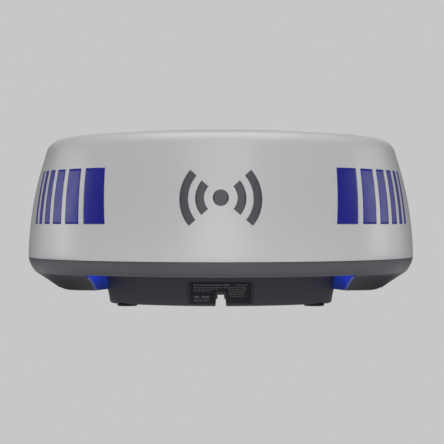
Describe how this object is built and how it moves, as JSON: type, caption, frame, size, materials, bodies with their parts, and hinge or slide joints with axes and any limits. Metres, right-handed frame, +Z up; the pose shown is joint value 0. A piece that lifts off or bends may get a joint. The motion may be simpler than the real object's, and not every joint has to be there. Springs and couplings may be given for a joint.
{
  "type": "radar dome antenna",
  "caption": "Marine dome radar: white radome on a dark cast base with blue accent lights, holding a belt-driven turning antenna.",
  "frame": {"origin": "centre of the mounting plane (undersides of the four pads), under the antenna turning axis", "axes": "+Z up along the antenna axis, +Y towards the bow, -Y the cable side, +X starboard"},
  "size_m": [0.51, 0.51, 0.2273],
  "materials": {
    "radome_white": "satin gel coat",
    "casting_grey": "die cast, dark grey powder coat, satin",
    "label_film": "matt film",
    "accent_blue": "clear blue, smooth",
    "seal_rubber": "moulded",
    "pad_rubber": "moulded, matt",
    "belt_rubber": "fabric faced",
    "cable_black": "jacketed",
    "black_plastic": "fine grain",
    "motor_black": "black with bare ends",
    "board_green": "solder mask",
    "antenna_white": "moulded",
    "steel": "machined",
    "aluminium": "bare, bead blasted",
    "brass": "turned"
  },
  "bodies": {
    "base": {"radome_seal": "seal_rubber", "base_housing": "casting_grey", "rating_label": "label_film", "accent_lens_left": "accent_blue", "accent_lens_right": "accent_blue", "accent_led_board_left": "board_green", "accent_led_board_right": "board_green", "network_socket": "black_plastic", "power_socket": "black_plastic", "network_socket_nut": "steel", "power_socket_nut": "steel", "pressure_vent": "black_plastic", "cable_clamp": "steel", "cable_clamp_screw_1": "steel", "cable_clamp_screw_2": "steel", "bearing_housing": "aluminium", "housing_screw_1": "steel", "housing_screw_2": "steel", "housing_screw_3": "steel", "bearing_retainer": "aluminium", "bearing_spacer": "aluminium", "lower_bearing_outer_race": "steel", "upper_bearing_outer_race": "steel", "rotary_joint_stator": "brass", "drive_belt": "belt_rubber", "motor_body": "motor_black", "motor_bracket": "aluminium", "index_sensor": "black_plastic", "main_board": "board_green", "power_board": "board_green", "transceiver": "aluminium", "mounting_pad_1": "pad_rubber", "thread_insert_1": "steel", "radome_screw_1": "steel", "mounting_pad_2": "pad_rubber", "thread_insert_2": "steel", "radome_screw_2": "steel", "mounting_pad_3": "pad_rubber", "thread_insert_3": "steel", "radome_screw_3": "steel", "mounting_pad_4": "pad_rubber", "thread_insert_4": "steel", "radome_screw_4": "steel"},
    "radome": {"radome_cover": "radome_white"},
    "rotor": {"spindle": "steel", "spindle_nut": "steel", "lower_bearing_inner_race": "steel", "upper_bearing_inner_race": "steel", "driven_pulley": "black_plastic", "index_magnet": "steel", "rotary_joint_rotor": "brass", "turntable": "aluminium", "antenna_frame": "aluminium", "antenna_array": "board_green", "antenna_cover": "antenna_white", "feed_cable": "cable_black"},
    "motor_rotor": {"motor_shaft": "steel", "motor_pulley": "aluminium"},
    "lower_cage": {"lower_bearing_ball_cage": "brass"},
    "upper_cage": {"upper_bearing_ball_cage": "brass"}
  },
  "joints": [
    {"name": "antenna_spin", "type": "hinge", "parent": "base", "child": "rotor", "pos_m": [0, 0, 0.1], "axis": [0, 0, 1], "continuous": true},
    {"name": "motor_spin", "type": "hinge", "parent": "base", "child": "motor_rotor", "pos_m": [0, 0.095, 0.1], "axis": [0, 0, 1], "continuous": true},
    {"name": "lower_cage_spin", "type": "hinge", "parent": "base", "child": "lower_cage", "pos_m": [0, 0, 0.0665], "axis": [0, 0, 1], "continuous": true},
    {"name": "upper_cage_spin", "type": "hinge", "parent": "base", "child": "upper_cage", "pos_m": [0, 0, 0.0945], "axis": [0, 0, 1], "continuous": true},
    {"name": "radome_lift", "type": "slide", "parent": "base", "child": "radome", "axis": [0, 0, 1], "range_m": [0, 0.25]}
  ],
  "couplings": [
    {"joint": "motor_spin", "follows": "antenna_spin", "ratio": 5},
    {"joint": "lower_cage_spin", "follows": "antenna_spin", "ratio": 0.4247},
    {"joint": "upper_cage_spin", "follows": "antenna_spin", "ratio": 0.4247}
  ]
}
